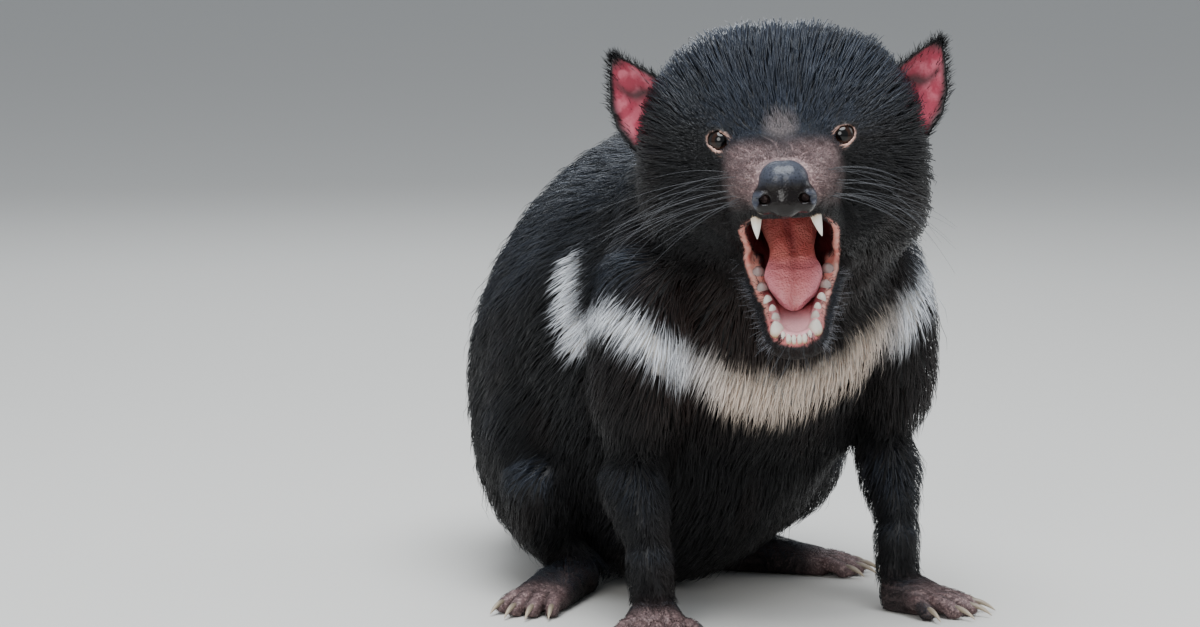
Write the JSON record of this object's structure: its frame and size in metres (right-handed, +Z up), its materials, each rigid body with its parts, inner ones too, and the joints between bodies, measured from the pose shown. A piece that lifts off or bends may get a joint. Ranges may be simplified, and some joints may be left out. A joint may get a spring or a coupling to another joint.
{
  "type": "tasmanian devil",
  "caption": "Still life-size model of a stocky black marsupial with a white chest band, sitting upright on straight forelegs with its mouth gaping, for display or a museum scene",
  "frame": {"origin": "on the floor, under the middle of the box around the whole animal", "axes": "+Z up, -Y the way the chest faces, +Y towards the tail, +X the animal's left"},
  "size_m": [0.3188, 0.561, 0.3329],
  "materials": {
    "coat": "black fur with a white band across the chest and shoulders",
    "foot_skin": "bare pinkish brown skin under sparse hair",
    "mouth": "moist pink",
    "nose_leather": "moist black, pebbled",
    "ear_skin": "thin crimson skin with black hair at the edges",
    "eye": "glossy dark brown",
    "tooth": "ivory",
    "claw": "pale horn",
    "whisker": "stiff dark bristle"
  },
  "bodies": {
    "root": {"head": "coat", "lower_jaw": "coat", "tongue": "mouth", "nose": "nose_leather", "eye_left": "eye", "eye_right": "eye", "ear_left": "ear_skin", "ear_right": "ear_skin", "neck": "coat", "trunk": "coat", "upper_arm_left": "coat", "upper_arm_right": "coat", "forearm_left": "coat", "forearm_right": "coat", "forefoot_left": "foot_skin", "forefoot_right": "foot_skin", "thigh_left": "coat", "thigh_right": "coat", "shank_left": "coat", "shank_right": "coat", "hindfoot_left": "foot_skin", "hindfoot_right": "foot_skin", "tail_base": "coat", "tail_middle": "coat", "tail_tip": "coat"}
  },
  "joints": []
}
